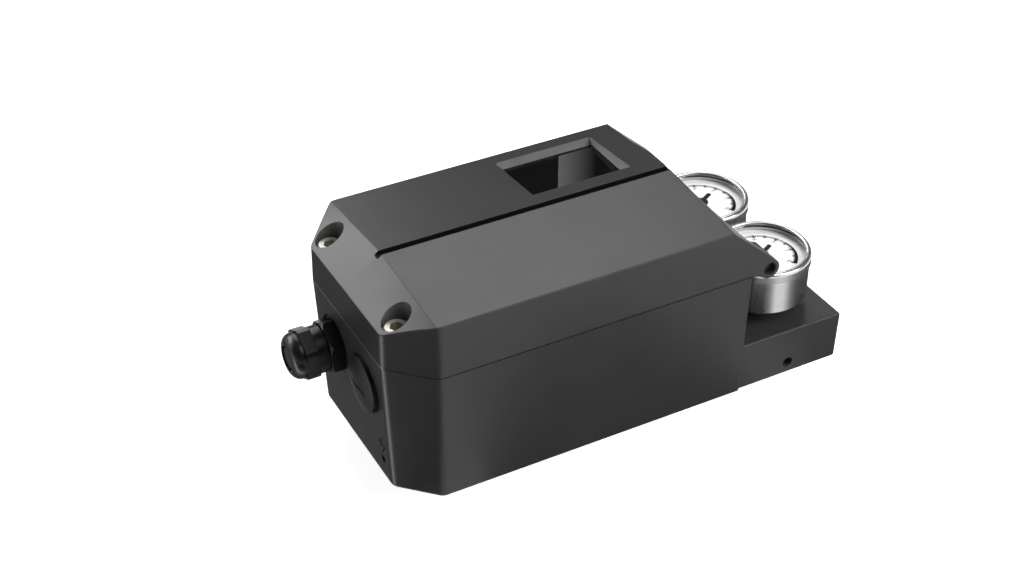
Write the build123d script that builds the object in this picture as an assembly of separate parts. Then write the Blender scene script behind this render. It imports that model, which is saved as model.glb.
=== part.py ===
import os
from math import asin, atan2, cos, hypot, radians, sin, sqrt

from build123d import *

# All lengths in millimetres. X runs towards the gauges, Z up,
# the origin lies on the feedback shaft's axis in the plane of the underside.

# Housing
housing_length = 150.0
housing_width = 96.0
parting_height = 59.0
seam = 0.15
corner_cut = 15.75
corner_round = 4.8
foot_inset = 2.2
foot_round = 2.3
base_wall = 4.0
base_floor = 6.0
gauge_end_wall = 8.0
half_length = housing_length / 2
half_width = housing_width / 2

# Lid
lid_wall = 3.2
lid_lean = 0.0236
eaves_height = 81.2
ridge_height = 85.3
hip_foot = 73.3
hip_length = 15.75
gauge_slope_start = half_length - 9.3
above = ridge_height + 10
groove_width = 3.0
groove_depth = 1.5
crease_round = 0.6

# Hinge
hinge_x = half_length + 8.3
hinge_z = parting_height + 1.0
barrel_radius = 4.3
pin_radius = 2.7
ear_inner = half_width - 6.6
ear_slack = 0.4
lug_inner = half_width - 14.0
pin_recess = 2.0

# Lid screws
lid_screw_x = -half_length + 7.9
lid_screw_y = half_width - 18.0
head_recess_radius = 5.57
head_radius = 4.9
head_height = 6.0
head_top = 73.9
shank_radius = 3.0
key_size = 5.0
screw_ring = 0.8
screw_foot = parting_height - 8.0
column_radius = 6.5

# Window
window_x = (half_length - 65.3, half_length - 21.8)
window_y = (10.2, half_width - 9.6)
pane_top = 79.3
pane_thickness = 3.0
pane_border = 2.6
window_corner = 0.8
rear_bevel = 0.83
front_bevel = 0.28
end_bevel = 0.06

# Fits
running = 0.05
thread_gap = 0.05
easy = 0.3

# Sealing cord of the lid
cord_inset = 1.0
cord_slot = 2.0
cord_width = 1.8
cord_height = 2.2

# Cable entries
entry_y = 14.0
entry_z = 39.4
entry_face = -half_length + 1.2
entry_radius = 8.0
entry_boss_foot = -half_length + 10.0
entry_boss = 11.0
spot_radius = 11.9
seal_thickness = 0.6
gland_face = entry_face - seal_thickness
gland_hex = 20.0
gland_front = gland_face - 5.5
nut_hex = 19.5
nut_back = gland_front - 0.3
nut_hex_back = nut_back - 4.2
nut_hex_front = nut_hex_back - 5.1
nut_front = nut_hex_front - 4.8
collar_radius = 9.5
nose_radius = 9.3
nut_corner = 10.75
nose_round = 4.0
mouth_radius = 5.0
nut_thread = 8.2
insert_radius = 6.9
insert_bore = 3.0
plug_radius = 11.5
plug_rim = 1.65
plug_crown = 1.75

# Earth connections
earth_hole_y = -half_width + 23.0
earth_hole_z = 10.1
earth_hole_radius = 1.65
earth_hole_end = -half_length + 9.0
earth_post_x = -half_length + 17.0
earth_post_top = 30.0

# Gauges
bezel_radius = 20.15
bezel_gap = 4.3
gauge_x = half_length + bezel_radius + 3.35
gauge_y = bezel_radius + bezel_gap / 2
stem_radius = 4.85
stem_foot = 15.2
nut_across = 14.0
case_radius = 19.6
case_wall = 0.8
case_foot = 30.6
case_top = 47.4
case_round = 0.6
bezel_top = 50.2
bezel_foot = 45.7
bezel_round = 1.5
lip_round = 0.6
lip_width = 2.2
glass_top = bezel_top - 0.9
dial_height = 46.2
dial_thickness = 0.4
tube_radius = 13.0
needle_angle = 213.0
needle_length = 14.2
tail_length = 9.3

# Gauge block
block_length = 47.9
block_foot = 1.5
block_height = 24.2
block_foot_round = 1.6
block_top_round = 0.8
port_radius = 5.9
port_mouth = 0.8
port_depth = 14.0
port_spacing = half_width - 20.0
port_z = 12.8
passage_radius = 2.5
side_hole_x = gauge_x
side_hole_z = 7.4
side_hole_radius = 2.3
side_hole_depth = 5.4
block_end = half_length + block_length
ring_depth = 1.2
ring_radius = 4.7
block_head_radius = 4.25
block_head_height = 5.0
block_head_sink = 0.6
filter_radius = 6.0
filter_x = half_length - 19.0
air_x = half_length - 18.0
block_screws = [(side * (half_width - 7.5), 17.0) for side in (-1, 1)]
block_screws += [(side * port_spacing / 2, port_z) for side in (-1, 1)]

# Shaft and gears
shaft_radius = 4.0
shaft_reach = 16.0
shaft_shoulder = -2.0
shaft_flat = 3.4
journal_radius = 5.0
gear_module = 1.0
shaft_teeth = 36
sensor_teeth = 18
gear_foot = 22.0
gear_height = 4.0
gear_distance = gear_module * (shaft_teeth + sensor_teeth) / 2

# Fixing holes in the underside
fixing_x = 40.0
fixing_y = 15.0
fixing_radius = 2.5
fixing_depth = 10.0

# Electronics
tray_x = (-half_length + 18.0, half_length - 12.0)
tray_y = half_width - 10.0
tray_foot = 44.0
tray_thickness = 2.0
post_points = [(x, side * (tray_y - 3.0)) for x in (tray_x[0] + 27.0, tray_x[1] - 6.0) for side in (-1, 1)]
cover_x = (tray_x[0] + 19.0, tray_x[1])
cover_step = 60.0
panel_x = (tray_x[1] - 59.0, tray_x[1] - 3.0)
panel_top = 71.0
cover_wall = 2.0
board_foot = 62.0
board_thickness = 1.6
display_x = (panel_x[0] + 6.5, panel_x[1] - 7.5)
display_y = (9.5, tray_y)
button_xs = [panel_x[0] + 9.0 + 12.0 * number for number in range(4)]
button_y = -14.0
button_radius = 3.6
button_travel = 1.2
button_top = 73.0
terminal_ways = 8
terminal_pitch = 5.5
terminal_x = (tray_x[0] + 3.0, tray_x[0] + 15.0)
clamp_x = tray_x[0] + 5.6


def slab(x, y, z):
    """Block between the two limits given for each axis."""
    size = [b - a for a, b in (x, y, z)]
    centre = [(a + b) / 2 for a, b in (x, y, z)]
    return Pos(*centre) * Box(*size)


def rod(radius, x, y, z):
    """Upright cylinder at x, y between the two heights."""
    return Pos(x, y, (z[0] + z[1]) / 2) * Cylinder(radius, z[1] - z[0])


def rod_x(radius, x, y, z):
    """Cylinder along X between the two x values."""
    return Pos((x[0] + x[1]) / 2, y, z) * Rot(0, 90, 0) * Cylinder(radius, x[1] - x[0])


def rod_y(radius, x, y, z):
    """Cylinder along Y between the two y values."""
    return Pos(x, (y[0] + y[1]) / 2, z) * Rot(90, 0, 0) * Cylinder(radius, y[1] - y[0])


def hexagon_x(across, x, y, z):
    """Hexagonal bar along X with flats up and down."""
    face = Plane.YZ * RegularPolygon(across / 2, 6, major_radius=False, rotation=30)
    return Pos(x[0], y, z) * extrude(face, x[1] - x[0])


def hexagon_z(across, x, y, z):
    """Upright hexagonal bar."""
    face = RegularPolygon(across / 2, 6, major_radius=False)
    return Pos(x, y, z[0]) * extrude(face, z[1] - z[0])


def polygon(points):
    """Flat face through points in space."""
    return Face(Wire.make_polygon(points, close=True))


def lathe(points, place=Pos(0, 0, 0)):
    """Solid of revolution about Z from points of radius and height."""
    face = polygon([(r, 0, h) for r, h in points])
    return place * revolve(face, Axis.Z)


def group(*solids):
    """Several separate solids kept as one sub-part."""
    return Compound(children=list(solids))


def outline(inset, end_inset, height):
    """Plan shape of the housing with its two cut corners, drawn in by the inset."""
    left = -half_length + inset
    side = half_width - inset
    spread = inset * (sqrt(2) - 1)
    cut_x = -half_length + corner_cut + spread
    cut_y = half_width - corner_cut - spread
    right = half_length - end_inset
    return polygon([
        (right, -side, height),
        (cut_x, -side, height),
        (left, -cut_y, height),
        (left, cut_y, height),
        (cut_x, side, height),
        (right, side, height),
    ])


def tub(low, high, end_inset, radius):
    """Tapering body between two (inset, height) pairs with rounded cable-end corners."""
    faces = [outline(inset, end_inset, height) for inset, height in (low, high)]
    body = loft(faces, ruled=True)
    reach = high[1] - low[1]
    corners = [e for e in body.edges() if e.bounding_box().size.Z > 0.9 * reach and e.center().X < 0]
    return fillet(corners, radius)


def roof(drop):
    """Everything under the gabled roof, lowered by the drop."""
    flank = 60.0
    fall = (ridge_height - eaves_height) / half_width
    side_height = ridge_height - fall * flank
    crease = -half_length + hip_length
    overrun = 2.0
    gauge_run = half_length - gauge_slope_start

    def beyond(top, foot, run):
        return foot - (top - foot) * overrun / run

    def section(x, ridge, side):
        points = [(x, -flank, 20), (x, -flank, side - drop), (x, 0, ridge - drop)]
        points += [(x, flank, side - drop), (x, flank, 20)]
        return polygon(points)

    return loft([
        section(
            -half_length - overrun,
            beyond(ridge_height, hip_foot, hip_length),
            beyond(side_height, hip_foot, hip_length),
        ),
        section(crease, ridge_height, side_height),
        section(gauge_slope_start, ridge_height, side_height),
        section(
            half_length + overrun,
            beyond(ridge_height, gauge_slope_foot, gauge_run),
            beyond(side_height, gauge_slope_foot, gauge_run),
        ),
    ], ruled=True)


def tangent_point(x, z, turn):
    """Point where a line from x, z touches the hinge barrel; turn picks the side."""
    away = hypot(hinge_x - x, hinge_z - z)
    heading = atan2(hinge_z - z, hinge_x - x) + turn * asin(barrel_radius / away)
    reach = sqrt(away ** 2 - barrel_radius ** 2)
    return (x + reach * cos(heading), z + reach * sin(heading))


ear_touch = tangent_point(gauge_slope_start, eaves_height, 1)
ear_fall = (eaves_height - ear_touch[1]) / (ear_touch[0] - gauge_slope_start)
gauge_slope_foot = eaves_height - ear_fall * (half_length - gauge_slope_start)


def lid_plan(inset, end_inset, low, high):
    """Leaning outer planes of the lid between two heights."""
    ends = [(inset + lid_lean * (h - parting_height), h) for h in (low, high)]
    return tub(ends[0], ends[1], end_inset, corner_round if inset == 0 else 2.0)


def web(points, y):
    """Plate between two y values from points of x and z."""
    face = polygon([(px, y[0], pz) for px, pz in points])
    return extrude(face, y[1] - y[0], dir=(0, 1, 0))


def mirrored(solid):
    """The solid and its mirror image across the middle plane."""
    return [solid, mirror(solid, Plane.XZ)]


def make_base():
    """Cast tub with screw columns, entry bosses, shaft column, posts and hinge lugs."""
    body = tub((foot_inset, 0), (0, parting_height), 0, corner_round)
    foot_edges = [e for e in body.edges() if e.bounding_box().max.Z < 0.01]
    body = fillet([e for e in foot_edges if e.center().X < half_length - 1], foot_round)
    cavity = tub(
        (foot_inset + base_wall, base_floor),
        (base_wall, parting_height + 1),
        gauge_end_wall,
        2.0,
    )
    shell = body - cavity

    column_top = tray_foot
    extras = []
    for x, y in post_points:
        extras.append(rod(4.5, x, y, (1, column_top)))
    for side in (-1, 1):
        extras.append(rod(column_radius, lid_screw_x, side * lid_screw_y, (1, parting_height)))
        extras.append(rod_x(entry_boss, (-half_length + 3, entry_boss_foot), side * entry_y, entry_z))
        for x in (-fixing_x, fixing_x):
            extras.append(rod(6, x, side * fixing_y, (1, fixing_depth + 3)))
    extras.append(rod(11, 0, 0, (1, 20)))
    extras.append(rod(5, earth_post_x, 0, (1, earth_post_top)))
    extras.append(rod_x(3.8, (-half_length + 3, earth_hole_end + 2), earth_hole_y, earth_hole_z))
    for extra in extras:
        shell += extra & body

    lug_top = (half_length - 1, parting_height - 1.4)
    lug_foot = (half_length - 1, parting_height - 8.5)
    lug = web([
        lug_top,
        tangent_point(*lug_top, 1),
        (hinge_x, hinge_z),
        tangent_point(*lug_foot, -1),
        lug_foot,
    ], (lug_inner, ear_inner - ear_slack))
    lug += rod_y(barrel_radius, hinge_x, (lug_inner, ear_inner - ear_slack), hinge_z)
    lug -= rod_y(pin_radius, hinge_x, (lug_inner + 1, half_width), hinge_z)
    for one in mirrored(lug):
        shell += one

    cuts = []
    slot = prism(cord_inset, parting_height - cord_height, parting_height + 1)
    slot -= prism(cord_inset + cord_slot, parting_height - cord_height - 1, parting_height + 2)
    cuts.append(slot)
    for side in (-1, 1):
        y = side * lid_screw_y
        cuts.append(rod(shank_radius + running, lid_screw_x, y, (screw_foot - 13, parting_height + 1)))
        y = side * entry_y
        cuts.append(rod_x(spot_radius, (entry_face - 5, entry_face), y, entry_z))
        cuts.append(rod_x(entry_radius, (entry_face - 5, entry_boss_foot + 5), y, entry_z))
        for x in (-fixing_x, fixing_x):
            cuts.append(rod(fixing_radius, x, side * fixing_y, (-1, fixing_depth)))
    for x, y in post_points:
        cuts.append(rod(1.5, x, y, (column_top - 10, column_top + 1)))
    cuts.append(rod(journal_radius + 2, 0, 0, (-1, 21)))
    cuts.append(rod(journal_radius + 4, 0, 0, (-1, 1.5)))
    cuts.append(rod(earth_hole_radius, earth_post_x, 0, (20, earth_post_top + 1)))
    cuts.append(rod(filter_radius, filter_x, 0, (-1, 3.5)))
    cuts.append(rod(2, filter_x, 0, (3, base_floor + 1)))
    cuts.append(rod_x(earth_hole_radius, (-half_length - 5, earth_hole_end), earth_hole_y, earth_hole_z))
    for y in (-port_spacing, 0, port_spacing):
        cuts.append(rod_x(passage_radius, (half_length - 15, half_length + 5), y, port_z))
    for y, z in block_screws:
        cuts.append(rod_x(2.5, (half_length - 6, half_length + 5), y, z))
    for cut in cuts:
        shell -= cut
    return shell


def prism(inset, low, high):
    """Straight-sided body in the plan shape of the housing with rounded corners."""
    return tub((inset, low), (inset, high), inset, corner_round - 1)


def make_cord():
    """Rubber cord lying in the rim's slot, filling the seam."""
    gap = (cord_slot - cord_width) / 2
    outer = prism(cord_inset + gap, parting_height - cord_height, parting_height + seam)
    inner = prism(cord_inset + gap + cord_width, parting_height - 5, parting_height + 5)
    return outer - inner


def window_opening():
    """Bevelled opening over the pane, wider at the rear because the roof is low there."""
    rise = 7.0
    faces = []
    for up in (0, rise):
        x0, x1 = window_x[0] - end_bevel * up, window_x[1] + end_bevel * up
        y0, y1 = window_y[0] - front_bevel * up, window_y[1] + rear_bevel * up
        face = RectangleRounded(x1 - x0, y1 - y0, window_corner)
        faces.append(Pos((x0 + x1) / 2, (y0 + y1) / 2, pane_top + up) * face)
    return loft(faces, ruled=True)


def pane_limits(gap):
    """Limits of the pane or of its seat in x and y."""
    x = (window_x[0] - pane_border - gap, window_x[1] + pane_border + gap)
    y = (window_y[0] - pane_border - gap, window_y[1] + pane_border + gap)
    return x, y


def on_roof_outline(edge):
    """Creases and eaves of the lid, without ridge, folds and the gauge slope's sides."""
    box = edge.bounding_box()
    above = box.min.Z > hip_foot - 0.5
    fold = box.size.Y < 0.1 and abs(box.max.Y) < 1
    return above and not fold and box.max.X < gauge_slope_start + 1


def make_lid():
    """Roofed lid with hinge ears, screw recesses, window frame and ridge groove."""
    low = parting_height + seam
    outer = lid_plan(0, 0, low, above) & roof(0)
    outer = fillet([e for e in outer.edges() if on_roof_outline(e)], crease_round)
    inner = lid_plan(lid_wall, lid_wall, low - 1, above) & roof(lid_wall)
    shell = outer - inner

    pane_x, pane_y = pane_limits(1.8)
    frame = slab(pane_x, pane_y, (pane_top - pane_thickness - 0.6, above))
    shell += frame & outer
    for side in (-1, 1):
        shell += rod(column_radius + 0.5, lid_screw_x, side * lid_screw_y, (low, above)) & outer

    start = (gauge_slope_start + 3, low)
    top = eaves_height - ear_fall * 3 - 2
    under = (half_length + 2.5, parting_height - 0.1)
    ear = web([
        start,
        (start[0], top),
        (gauge_slope_start + 4, eaves_height - ear_fall * 4),
        ear_touch,
        (hinge_x, hinge_z),
        tangent_point(*under, -1),
        under,
        (half_length, low),
    ], (ear_inner, half_width))
    ear += rod_y(barrel_radius, hinge_x, (ear_inner, half_width), hinge_z)
    ear &= lid_plan(0, -30, 50, above)
    ear -= rod_y(pin_radius + running, hinge_x, (ear_inner - 1, half_width + 2), hinge_z)
    for one in mirrored(ear):
        shell += one

    groove_run = (-half_length - 5, half_length + 5)
    shell -= slab(groove_run, (-groove_width / 2, groove_width / 2), (ridge_height - groove_depth, above))
    shell -= window_opening()
    pane_x, pane_y = pane_limits(0.1)
    shell -= slab(pane_x, pane_y, (pane_top - pane_thickness - 1, pane_top))
    seat = head_top - head_height
    for side in (-1, 1):
        y = side * lid_screw_y
        shell -= rod(head_recess_radius, lid_screw_x, y, (seat - screw_ring, above))
        shell -= rod(shank_radius + easy, lid_screw_x, y, (low - 1, seat))
    return shell


def make_pane():
    """Clear pane seated from below in the window frame."""
    pane_x, pane_y = pane_limits(0)
    return slab(pane_x, pane_y, (pane_top - pane_thickness, pane_top))


def make_hinge_pins():
    """Two plain pins held in the base lugs."""
    pin = rod_y(pin_radius, hinge_x, (lug_inner + 1, half_width - pin_recess), hinge_z)
    pin = chamfer(pin.edges().group_by(Axis.Y)[-1], 0.4)
    return group(*mirrored(pin))


def make_lid_screw(side):
    """Socket head screw with a chamfered tip."""
    y = side * lid_screw_y
    head = rod(head_radius, lid_screw_x, y, (head_top - head_height, head_top))
    head = chamfer(head.edges().group_by(Axis.Z)[-1], 0.5)
    screw = head + rod(shank_radius, lid_screw_x, y, (screw_foot, head_top - head_height))
    screw = chamfer(screw.edges().group_by(Axis.Z)[0], 0.8)
    return screw - hexagon_z(key_size, lid_screw_x, y, (head_top - 3.5, head_top + 1))


def make_screw_rings():
    """Seal rings under the two screw heads."""
    seat = head_top - head_height
    rings = []
    for side in (-1, 1):
        y = side * lid_screw_y
        ring = rod(head_recess_radius, lid_screw_x, y, (seat - screw_ring, seat))
        rings.append(ring - rod(shank_radius + easy, lid_screw_x, y, (seat - 2, seat + 1)))
    return group(*rings)


def place_on_entry(side):
    """Moves a body turned about Z so that its Z axis leaves the cable end."""
    return Pos(0, side * entry_y, entry_z) * Rot(0, -90, 0)


def make_gland_body():
    """Gland body: wall thread, hexagon, nut thread and a bore with a pocket for the insert."""
    y, z = entry_y, entry_z
    body = hexagon_x(gland_hex, (gland_front, gland_face), y, z)
    body &= lathe([
        (0, -gland_face),
        (11.3, -gland_face),
        (11.3, -gland_front - 1.0),
        (10.2, -gland_front),
        (0, -gland_front),
    ], place_on_entry(1))
    body += rod_x(nut_thread, (nut_hex_back - 2.0, gland_front), y, z)
    body += rod_x(entry_radius - thread_gap, (gland_face, entry_boss_foot - 1), y, z)
    body -= rod_x(insert_radius + 0.1, (nut_front, nut_back - 0.8), y, z)
    body -= rod_x(4.6, (nut_front, entry_boss_foot + 5), y, z)
    return body


def make_gland_nut():
    """Dome nut: hexagon with turned corners, skirt and rounded nose."""
    y, z = entry_y, entry_z
    nose = rod_x(nose_radius, (nut_front, nut_hex_front), y, z)
    nut = hexagon_x(nut_hex, (nut_hex_front, nut_hex_back), y, z)
    nut &= rod_x(nut_corner, (nut_hex_front, nut_hex_back), y, z)
    nut += fillet(nose.edges().group_by(Axis.X)[0], nose_round)
    nut += rod_x(collar_radius, (nut_hex_back, nut_back), y, z)
    nut -= lathe([
        (0, -nut_back - 1),
        (nut_thread + thread_gap, -nut_back - 1),
        (nut_thread + thread_gap, -nut_hex_back + 2.5),
        (mouth_radius, -nut_hex_front + 2.3),
        (mouth_radius, -nut_front + 1),
        (0, -nut_front + 1),
    ], place_on_entry(1))
    return nut


def make_gland_insert():
    """Rubber insert squeezed by the nut."""
    foot = -nut_back + 1.0
    return lathe([
        (insert_bore, foot),
        (insert_radius, foot),
        (insert_radius, foot + 6.0),
        (insert_radius - 1.1, foot + 7.8),
        (insert_bore, foot + 7.8),
    ], place_on_entry(1))


def make_gland_blank():
    """Blanking piece that closes the insert, with its disc in the nut's mouth."""
    disc = mouth_radius - 0.3
    front = -nut_front - 0.4
    return lathe([
        (0, -nut_back + 1.8),
        (insert_bore - 0.1, -nut_back + 1.8),
        (insert_bore - 0.1, front - 2.6),
        (disc, front - 2.0),
        (disc, front - 0.6),
        (disc - 0.6, front),
        (0, front),
    ], place_on_entry(1))


def make_entry_ring(side, outer):
    """Flat seal ring in the spot face of an entry."""
    ring = rod_x(outer, (gland_face, entry_face), side * entry_y, entry_z)
    return ring - rod_x(entry_radius, (gland_face - 1, entry_face + 1), side * entry_y, entry_z)


def make_blank_plug():
    """Domed plug with a screwdriver slot and a hollow threaded stub."""
    y, z = -entry_y, entry_z
    ball = (plug_radius ** 2 + plug_crown ** 2) / (2 * plug_crown)
    rim = gland_face - plug_rim
    crown = Pos(rim - plug_crown + ball, y, z) * Sphere(ball)
    plug = rod_x(plug_radius, (rim - plug_crown, gland_face), y, z) & crown
    plug += rod_x(entry_radius - thread_gap, (gland_face, entry_boss_foot - 0.5), y, z)
    plug -= rod_x(6.0, (gland_face + 0.9, entry_boss_foot + 5), y, z)
    slot_floor = rim - plug_crown + 0.7
    return plug - slab((slot_floor - 5, slot_floor), (y - 12, y + 12), (z - 0.6, z + 0.6))


def make_block():
    """Gauge block that carries on the housing's leaning sides, with ports and drillings."""
    foot_reach, top_reach = [
        half_width - foot_inset * (1 - z / parting_height) for z in (block_foot, block_height)
    ]
    section = polygon([
        (half_length, -foot_reach, block_foot),
        (half_length, foot_reach, block_foot),
        (half_length, top_reach, block_height),
        (half_length, -top_reach, block_height),
    ])
    block = extrude(section, block_length, dir=(1, 0, 0))
    outer = block.edges().filter_by(lambda e: e.center().X > half_length + 1)
    foot_edges = outer.filter_by(lambda e: e.bounding_box().max.Z < block_foot + 0.01)
    block = fillet(foot_edges, block_foot_round)
    outer = block.edges().filter_by(lambda e: e.center().X > half_length + 1)
    block = fillet(outer.filter_by(lambda e: e.center().Z > block_foot + 3), block_top_round)

    for y in (-port_spacing, 0, port_spacing):
        block -= rod_x(port_radius, (block_end - port_depth, block_end + 1), y, port_z)
        block -= rod_x(passage_radius, (half_length - 1, block_end - port_depth + 1), y, port_z)
        block -= rod_x(ring_radius + 0.1, (half_length - 1, half_length + ring_depth), y, port_z)
        mouth = Cone(port_radius, port_radius + port_mouth, port_mouth)
        block -= Pos(block_end - port_mouth / 2, y, port_z) * Rot(0, 90, 0) * mouth
    for y, z in block_screws:
        seat = block_end - block_head_sink - block_head_height
        block -= rod_x(2.75, (half_length - 1, block_end), y, z)
        block -= rod_x(block_head_radius + 0.45, (seat, block_end + 1), y, z)
    for side in (-1, 1):
        y = side * gauge_y
        block -= rod(stem_radius + thread_gap, gauge_x, y, (stem_foot - 0.7, block_height + 1))
        hole = sorted((side * (half_width - side_hole_depth), side * (half_width + 5)))
        block -= rod_y(side_hole_radius, side_hole_x, hole, side_hole_z)
    return block


def make_block_rings():
    """Square-section rings that seal the passages between block and base."""
    rings = []
    for y in (-port_spacing, 0, port_spacing):
        ring = rod_x(ring_radius, (half_length, half_length + ring_depth), y, port_z)
        rings.append(ring - rod_x(3.2, (half_length - 1, half_length + 2), y, port_z))
    return group(*rings)


def make_block_screws():
    """Four long socket head screws that hold the block to the base."""
    top = block_end - block_head_sink
    seat = top - block_head_height
    screws = []
    for y, z in block_screws:
        head = rod_x(block_head_radius, (seat, top), y, z)
        head = chamfer(head.edges().group_by(Axis.X)[-1], 0.4)
        shank = rod_x(2.45, (half_length - 5, seat), y, z)
        socket = hexagon_x(4.0, (top - 2.6, top + 1), y, z)
        screws.append(head + shank - socket)
    return group(*screws)


def make_gauge(side):
    """All parts of one gauge, by their short names."""
    y = side * gauge_y
    nut_top = case_foot - 1.3
    seat = case_foot + 3.0

    socket = rod(stem_radius, gauge_x, y, (stem_foot, block_height))
    socket += hexagon_z(nut_across, gauge_x, y, (block_height, nut_top))
    socket += rod(8.5, gauge_x, y, (nut_top, case_foot))
    socket += rod(5.0, gauge_x, y, (case_foot, seat))
    socket += slab((gauge_x - 5, gauge_x + 14.2), (y - 3.5, y + 3.5), (seat, seat + 4.8))
    socket -= rod(1.2, gauge_x, y, (stem_foot - 1, seat + 2.4))

    section = Plane.XZ * Pos(tube_radius, 0) * Rectangle(1.8, 4.6)
    tube = Pos(gauge_x, y, seat + 2.4) * Rot(0, 0, 17.0) * revolve(section, Axis.Z, 250)

    case = rod(case_radius, gauge_x, y, (case_foot, case_top))
    case = fillet(case.edges().group_by(Axis.Z)[0], case_round)
    case -= rod(case_radius - case_wall, gauge_x, y, (case_foot + case_wall, case_top + 1))
    case -= rod(5.0 + thread_gap, gauge_x, y, (case_foot - 1, case_top))

    grip = case_radius + thread_gap
    bezel = lathe([
        (grip, bezel_foot),
        (bezel_radius, bezel_foot),
        (bezel_radius, bezel_top),
        (bezel_radius - lip_width, bezel_top),
        (bezel_radius - lip_width - 0.3, glass_top),
        (grip, glass_top),
    ], Pos(gauge_x, y, 0))
    rims = bezel.edges().group_by(Axis.Z)[-1].sort_by(SortBy.LENGTH)
    bezel = fillet(rims[-1], bezel_round)
    rims = bezel.edges().group_by(Axis.Z)[-1].sort_by(SortBy.LENGTH)
    bezel = fillet(rims[0], lip_round)

    glass = rod(case_radius, gauge_x, y, (case_top, glass_top))
    dial_foot = dial_height - dial_thickness
    dial = rod(case_radius - case_wall - 0.1, gauge_x, y, (dial_foot, dial_height))
    dial -= rod(1.0, gauge_x, y, (dial_foot - 1, dial_height + 1))

    hub = rod(1.7, gauge_x, y, (dial_height + 0.25, dial_height + 0.85))
    arbor = rod(0.6, gauge_x, y, (seat + 5.3, dial_height + 0.5))
    blade = polygon([
        (-tail_length, -1.2, 0),
        (0, -0.7, 0),
        (needle_length, -0.15, 0),
        (needle_length, 0.15, 0),
        (0, 0.7, 0),
        (-tail_length, 1.2, 0),
    ])
    blade = extrude(blade, 0.3)
    pointer = hub + arbor + Pos(gauge_x, y, dial_height + 0.4) * Rot(0, 0, needle_angle) * blade

    plate_foot = seat + 4.8
    movement = slab((gauge_x - 8, gauge_x + 8), (y - 5, y + 5), (plate_foot, plate_foot + 1.0))
    movement += slab((gauge_x - 8, gauge_x + 8), (y - 5, y + 5), (plate_foot + 4.2, plate_foot + 5.0))
    for post in (-6, 6):
        movement += rod(1.2, gauge_x + post, y, (plate_foot + 0.6, dial_foot))
    movement -= rod(0.65, gauge_x, y, (plate_foot + 0.4, dial_foot + 1))

    return {
        "socket": socket,
        "tube": tube,
        "case": case,
        "bezel": bezel,
        "glass": glass,
        "dial": dial,
        "pointer": pointer,
        "movement": movement,
    }


def gear_wheel(teeth, low, high, bore, turned):
    """Spur gear with trapezoidal teeth; a tooth points along X before it is turned."""
    pitch = gear_module * teeth / 2
    root = pitch - 1.2 * gear_module
    crest = pitch + 0.85 * gear_module
    step = 360 / teeth
    points = []
    for tooth in range(teeth):
        middle = tooth * step + turned
        for radius, share in ((root, -0.33), (crest, -0.13), (crest, 0.13), (root, 0.33)):
            angle = radians(middle + share * step)
            points.append((radius * cos(angle), radius * sin(angle), low))
    return extrude(polygon(points), high - low) - rod(bore, 0, 0, (low - 1, high + 1))


def make_shaft():
    """Feedback shaft: journal with a thinner free end that has a flat along it."""
    free_end = rod(shaft_radius, 0, 0, (-shaft_reach, shaft_shoulder))
    free_end = chamfer(free_end.edges().group_by(Axis.Z)[0], 0.5)
    free_end -= slab((shaft_flat, 10), (-10, 10), (-shaft_reach - 1, shaft_shoulder))
    journal = rod(journal_radius, 0, 0, (shaft_shoulder, gear_foot + gear_height + 2))
    return free_end + chamfer(journal.edges().group_by(Axis.Z)[-1], 0.5)


def make_shaft_gear():
    """Large gear with a hub, fixed on the shaft."""
    gear = gear_wheel(shaft_teeth, gear_foot, gear_foot + gear_height, journal_radius, 0)
    hub = rod(7.5, 0, 0, (gear_foot - 1.2, gear_foot + gear_height))
    gear += hub - rod(journal_radius, 0, 0, (10, 40))
    for hole in range(6):
        turn = radians(60 * hole)
        gear -= rod(2.6, 11.5 * cos(turn), 11.5 * sin(turn), (10, 40))
    return gear


def make_bushes():
    """Two flanged bearing bushes in the shaft column."""
    bore = journal_radius + running
    lower = rod(journal_radius + 4, 0, 0, (0.2, 1.5)) + rod(journal_radius + 2, 0, 0, (1.5, 8))
    upper = rod(journal_radius + 2, 0, 0, (13, 20)) + rod(journal_radius + 3.5, 0, 0, (20, 20.6))
    hole = rod(bore, 0, 0, (-1, 30))
    return group(lower - hole, upper - hole)


def make_sensor_gear():
    """Small gear on the sensor's spindle."""
    gear = gear_wheel(sensor_teeth, gear_foot, gear_foot + gear_height, 1.0, 180 / sensor_teeth)
    gear += rod(2.0, 0, 0, (12, gear_foot + gear_height + 1.5))
    return Pos(gear_distance, 0, 0) * gear


def make_sensor():
    """Round angle sensor on the floor, with the spindle's bearing."""
    x = gear_distance
    body = rod(9, x, 0, (base_floor, 19))
    body = chamfer(body.edges().group_by(Axis.Z)[-1], 0.6)
    body += rod(4.5, x, 0, (19, 21))
    return body - rod(2.0 + running, x, 0, (11, 30))


def make_valve_block():
    """Pneumatic block against the gauge-end wall, with the coil and filter seats."""
    x = (half_length - 27.5, half_length - gauge_end_wall)
    reach = half_width - 18
    block = slab(x, (-reach, reach), (base_floor, 36))
    block = chamfer(block.edges().filter_by(Axis.Y), 1.6)
    block -= rod(3.4, air_x, 0, (22, 40))
    for side in (-1, 1):
        block -= rod(3.0, air_x - 5, side * 20, (30, 40))
    for y in (-port_spacing, 0, port_spacing):
        block -= rod_x(passage_radius, (x[1] - 10, x[1] + 1), y, port_z)
    for side in (-1, 1):
        block -= slab((x[0] - 1, x[0] + 2.5), (side * 16 - 9, side * 16 + 9), (10, 26))
    block -= rod(2, filter_x, 0, (base_floor - 1, base_floor + 8))
    return block


def make_coil():
    """Coil of the current to pressure converter on top of the valve block."""
    x = air_x
    coil = rod(6.5, x, 18, (36, 42.5)) + rod(4.0, x, 18, (42.5, 43.4))
    return chamfer(coil.edges().group_by(Axis.Z)[-1], 0.3)


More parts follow.
